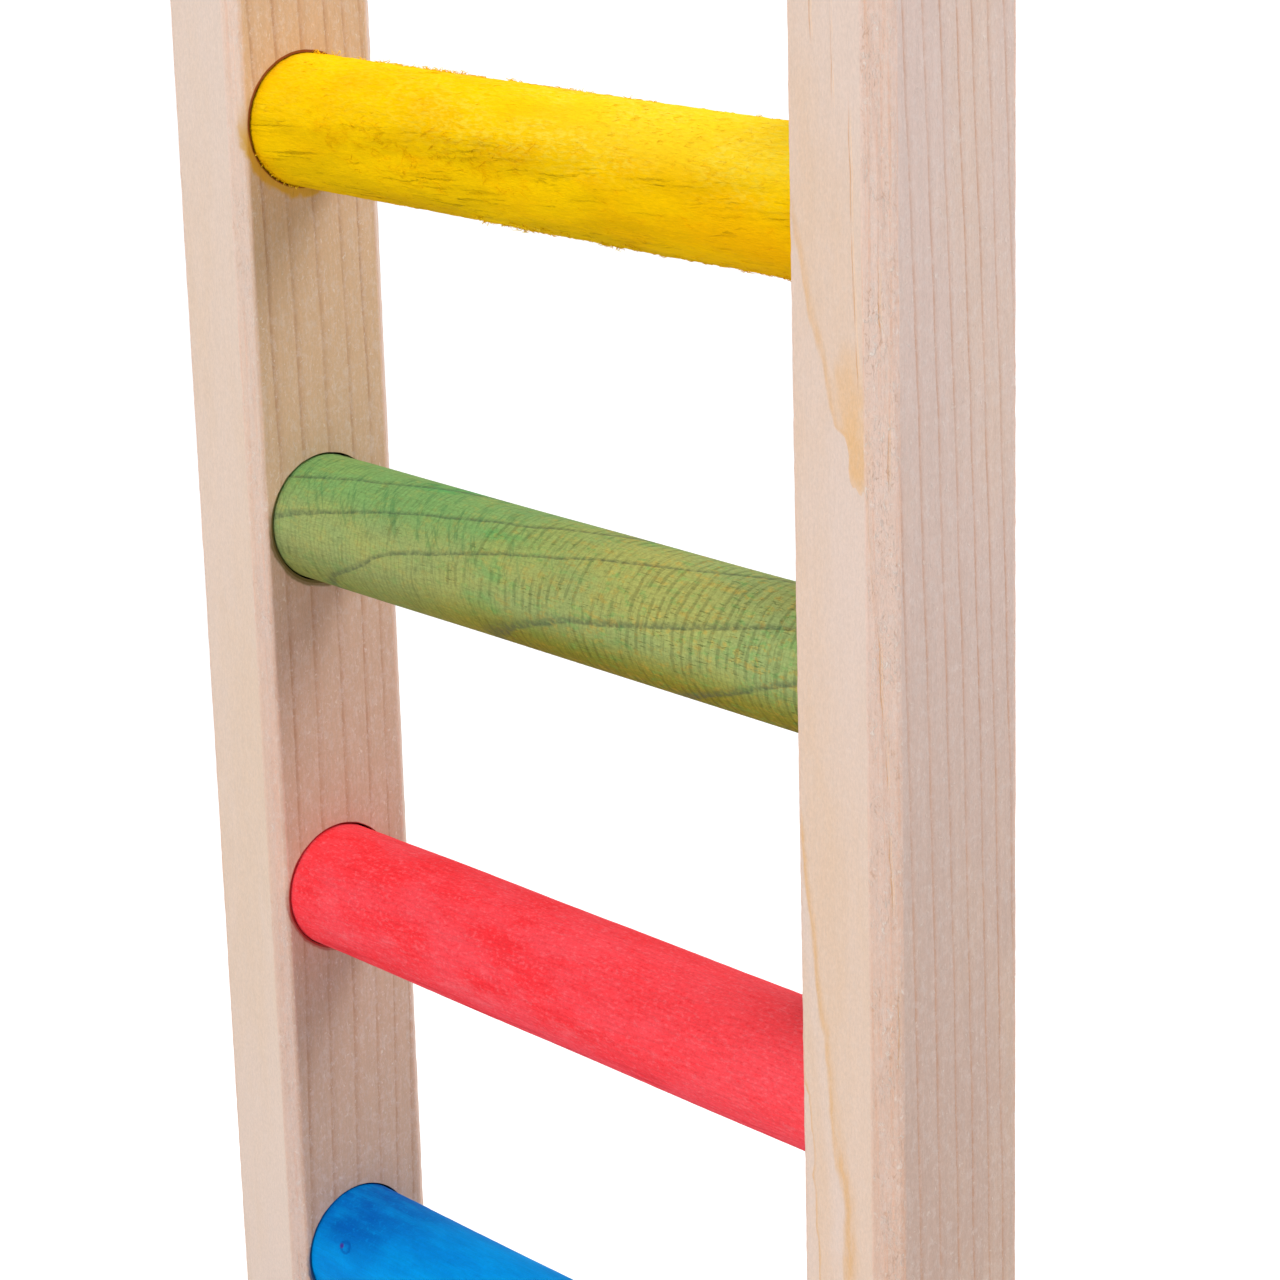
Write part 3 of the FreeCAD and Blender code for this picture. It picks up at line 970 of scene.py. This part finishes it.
def new_object(name, mesh):
    thing = bpy.data.objects.new(name, mesh)
    bpy.context.scene.collection.objects.link(thing)
    return thing


def mesh_from(name, points, faces):
    mesh = bpy.data.meshes.new(name)
    mesh.from_pydata([Vector(point) * MM for point in points], [], faces)
    mesh.update()
    return mesh


def tube_faces(rings, around):
    """Quads between rings of vertices, and a cap on each end."""
    faces = []
    for ring in range(rings - 1):
        for step in range(around):
            low = ring * around
            following = (step + 1) % around
            faces.append((low + step, low + following, low + around + following, low + around + step))
    faces.append(tuple(reversed(range(around))))
    faces.append(tuple(range((rings - 1) * around, rings * around)))
    return faces


def smooth(mesh):
    mesh.shade_smooth()
    mesh.set_sharp_from_angle(angle=math.radians(SHARP_FROM))


# How open a chipped or worn mouth is at each depth in the bore, as a share
SOCKET_PROFILE = ((-1.0, 1.0), (0.1, 1.0), (0.4, 0.5), (0.7, 0.0), (SOCKET_DEPTH, 0.0))
SOCKET_FACETS = 96
# The worn side, as an angle below the front
WORN_TOWARD = 5.0
# How much tighter than its clearance a bore is, how deep its mouth is chipped for each
# unit of noise, and the noise that a chip starts from
BORE_TIGHTER = 0.05
CHIP_DEPTH = 0.12
CHIP_FROM = 0.15


def bore_points(name, side):
    """Rings of points down one bore, from outside its mouth to its floor."""
    y, z = rung_axis(name, side * INNER_X)
    radius = rung_radius(name) + SOCKET_GAP
    back, up, worn = SEATED[name]
    y -= back
    z -= up
    points = []
    for depth, open_share in SOCKET_PROFILE:
        for step in range(SOCKET_FACETS):
            angle = 2 * math.pi * step / SOCKET_FACETS
            across = (DOWEL_RADIUS * math.cos(angle), DOWEL_RADIUS * math.sin(angle))
            chip = noise.noise(Vector((*across, z)))
            toward = max(0.0, -math.cos(angle - math.radians(WORN_TOWARD)))
            flare = CHIP_DEPTH * max(0.0, chip - CHIP_FROM) + worn * toward
            reach = radius - BORE_TIGHTER + open_share * flare
            x = side * (INNER_X + depth)
            points.append((x, y + reach * math.cos(angle), z + reach * math.sin(angle)))
    return points


def socket_cutter(side):
    """The four bores as one cutter, their mouths a little chipped."""
    points = []
    faces = []
    for name in RUNG_NAMES:
        base = len(points)
        points += bore_points(name, side)
        loops = tube_faces(len(SOCKET_PROFILE), SOCKET_FACETS)
        faces += [tuple(base + index for index in loop) for loop in loops]
    mesh = mesh_from("socket_cutter", points, faces)
    shell = bmesh.new()
    shell.from_mesh(mesh)
    bmesh.ops.recalc_face_normals(shell, faces=shell.faces)
    shell.to_mesh(mesh)
    shell.free()
    return new_object("socket_cutter", mesh)


def bore_sockets(rail, side):
    cutter = socket_cutter(side)
    bore = rail.modifiers.new("sockets", "BOOLEAN")
    bore.object = cutter
    bore.operation = "DIFFERENCE"
    bore.solver = "EXACT"
    graph = bpy.context.evaluated_depsgraph_get()
    rail.data = bpy.data.meshes.new_from_object(rail.evaluated_get(graph))
    rail.modifiers.clear()
    bpy.data.objects.remove(cutter)


def make_rail(name, side):
    """A planed bar with eased arrises, broken ends and its row of bores."""
    seed = RAIL_GRAIN[name]["seed"]
    outline = rail_outline(side)
    run = RAIL_HEIGHT - 2 * END_BREAK
    count = round(run / RAIL_STEP)
    levels = [0.0] + [END_BREAK + run * step / count for step in range(count + 1)]
    levels.append(RAIL_HEIGHT)
    points = []
    for z in levels:
        at_end = z in (0.0, RAIL_HEIGHT)
        for index, point in enumerate(outline):
            tangent = outline[(index + 1) % len(outline)] - outline[index - 1]
            outward = Vector((tangent.y, -tangent.x)).normalized()
            place = Vector((point.x, point.y, z))
            shift = rail_relief(place, seed) + arris_wear(place, seed)
            if at_end:
                shift -= END_BREAK
            moved = point + outward * shift
            points.append((moved.x, moved.y, z))
    mesh = mesh_from(name, points, tube_faces(len(levels), len(outline)))
    rail = new_object(name.replace("_rail", "_side_rail"), mesh)
    bore_sockets(rail, side)
    smooth(rail.data)
    rail.data.materials.clear()
    rail.data.materials.append(rail_material(name))
    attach(rail, "root")
    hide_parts(name)


# Rungs

RUNG_LEAD = 0.8

# How far into its sockets a rung's surface is as uneven as outside them
RELIEF_INTO_SOCKET = 0.6


def make_rung(name, step, relief, material, fibres=()):
    """A dowel whose surface stands off its radius by relief(x, angle)."""
    radius = rung_radius(name)
    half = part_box(name)[1].x / MM
    around = round(2 * math.pi * radius / step)
    count = round(2 * (half - RUNG_LEAD) / step)
    body = [-half + RUNG_LEAD + 2 * (half - RUNG_LEAD) * index / count for index in range(count + 1)]
    stations = [-half] + body + [half]
    points = []
    for x in stations:
        y, z = rung_axis(name, x)
        lead = RUNG_LEAD if abs(x) == half else 0.0
        for index in range(around):
            angle = 2 * math.pi * index / around
            reach = radius - lead
            if abs(x) < INNER_X + RELIEF_INTO_SOCKET:
                reach += relief(x, angle)
            points.append((x, y - reach * math.cos(angle), z + reach * math.sin(angle)))
    faces = [tuple(reversed(face)) for face in tube_faces(len(stations), around)]
    for fibre in fibres:
        y, z = rung_axis(name, fibre[0])
        add_fibre(points, faces, fibre, (y, z, radius + relief(fibre[0], fibre[1])))
    mesh = mesh_from(name, points, faces)
    rung = new_object(name.replace("_rung", "_dowel"), mesh)
    smooth(mesh)
    mesh.materials.append(material)
    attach(rung, "root")
    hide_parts(name)


FIBRE_STEPS = 4


def add_fibre(points, faces, fibre, dowel):
    """A raised splinter of wood: three-sided, bent, and pointed at its free end.

    It starts at x and angle, runs on by along mm and around radians, and lifts off the
    surface by lift, at its tip or in its middle if it is looped.
    """
    x, angle, along, around, lift, width, looped = fibre
    y, z, radius = dowel
    base = len(points)
    for step in range(FIBRE_STEPS):
        share = step / FIBRE_STEPS
        here_x = x + along * share
        here_angle = angle + around * share * share
        height = lift * (4 * share * (1 - share) if looped else share**1.6)
        girth = width * (1 - 0.7 * share)
        for corner in range(3):
            turn = 2 * math.pi * corner / 3
            reach = radius + height + girth * (math.sin(turn) - 0.3)
            side = here_angle + girth * math.cos(turn) / radius
            points.append((here_x, y - reach * math.cos(side), z + reach * math.sin(side)))
    tip = radius + (0.0 if looped else lift)
    end = angle + around
    points.append((x + along, y - tip * math.cos(end), z + tip * math.sin(end)))
    for step in range(FIBRE_STEPS - 1):
        for corner in range(3):
            first = base + step * 3 + corner
            second = base + step * 3 + (corner + 1) % 3
            faces.append((first, second, second + 3, first + 3))
    last = base + (FIBRE_STEPS - 1) * 3
    for corner in range(3):
        faces.append((last + corner, last + (corner + 1) % 3, base + FIBRE_STEPS * 3))


# Where the yellow dowel's fibres stand up. Each patch has a count of tufts, how many fibres
# a tuft holds, a range of x, a range of angles from the front up, and the greatest length
# and lift of a fibre.
YELLOW_FUZZ = (
    (900, 1, (-34.0, 34.0), (-180.0, 180.0), 1.1, 0.12),
    (46, 7, (-35.0, -14.0), (96.0, 128.0), 1.0, 0.6),
    (40, 6, (-14.0, 8.0), (96.0, 128.0), 0.8, 0.36),
    (26, 6, (8.0, 35.0), (96.0, 128.0), 0.7, 0.22),
    (40, 7, (-8.0, 12.0), (-82.0, -54.0), 0.8, 0.42),
    (60, 5, (12.0, 35.0), (-82.0, -54.0), 0.7, 0.2),
    (110, 4, (-27.0, 4.0), (-30.0, 24.0), 1.7, 0.2),
    (350, 1, (8.0, 34.0), (20.0, 80.0), 0.9, 0.1),
    (30, 4, (-36.2, -35.5), (-95.0, -25.0), 0.4, 0.5),
)
TUFT_SPREAD = 0.35
FUZZ_SEED = 7


def yellow_fibres():
    """The tufts of YELLOW_FUZZ, fibre by fibre, as add_fibre takes them."""
    chance = random.Random(FUZZ_SEED)
    fibres = []
    for tufts, size, x_range, angle_range, length, lift in YELLOW_FUZZ:
        for _ in range(tufts):
            x = chance.uniform(*x_range)
            angle = math.radians(chance.uniform(*angle_range))
            raised = lift * chance.random() ** 1.2
            for _ in range(size):
                along = chance.choice((-1, 1)) * length * chance.uniform(0.3, 1.0)
                fibres.append((
                    x + chance.uniform(-TUFT_SPREAD, TUFT_SPREAD),
                    angle + chance.uniform(-TUFT_SPREAD, TUFT_SPREAD) / 6,
                    along,
                    chance.uniform(-1.0, 1.0) * 0.09 * length,
                    raised * chance.uniform(0.4, 1.0),
                    chance.uniform(0.025, 0.06),
                    chance.random() < 0.35,
                ))
    return fibres


def on_cylinder(x, angle, along, around):
    """A noise point on the dowel, with so many features a mm along and around it."""
    back = -DOWEL_RADIUS * math.cos(angle)
    up = DOWEL_RADIUS * math.sin(angle)
    return Vector((x * along, back * around, up * around))


def taper(x, left, right):
    """What a dowel is over its size, from one rail to the other."""
    return left + (right - left) * (x + INNER_X) / (2 * INNER_X)


def yellow_relief(x, angle):
    """Torn grain over a long swell, and thicker towards the right rail."""
    point = on_cylinder(x, angle, 0.8, 1.5)
    torn = noise.fractal(point, 0.8, 2.1, 4)
    swell = noise.noise(on_cylinder(x, angle, 0.06, 0.15))
    return 0.06 * torn + 0.08 * swell + taper(x, 0.07, 0.2)


def green_relief(x, angle):
    """A long swell and the cutter's faint ribs, a little under its size."""
    swell = noise.noise(on_cylinder(x, angle, 0.05, 0.12) + Vector((7, 0, 0)))
    phase = x * 2 * math.pi / COARSE_CHATTER
    patch = 0.5 + noise.noise(on_cylinder(x, angle, 0.15, 0.3))
    return 0.08 * swell + 0.006 * patch * math.sin(phase) + taper(x, -0.05, -0.04)


def smooth_relief(seed, left, right):
    """The relief of a smooth dowel: a long swell and fine grain."""
    def relief(x, angle):
        swell = noise.noise(on_cylinder(x, angle, 0.05, 0.12) + Vector((seed, 0, 0)))
        fine = noise.fractal(on_cylinder(x, angle, 0.6, 1.2) + Vector((seed, 0, 0)), 1.0, 2.0, 3)
        return 0.08 * swell + 0.015 * fine + taper(x, left, right)
    return relief


make_camera()
make_lights()
make_world()
make_floor()
bpy.context.scene.view_settings.view_transform = "Standard"

make_rail("left_rail", -1)
make_rail("right_rail", 1)
make_rung("yellow_rung", 0.27, yellow_relief, yellow_material(), yellow_fibres())
make_rung("green_rung", 0.3, green_relief, green_material())
make_rung("red_rung", 0.45, smooth_relief(3, 0.03, 0.12), red_material())
make_rung("blue_rung", 0.45, smooth_relief(5, 0.0, 0.0), blue_material())
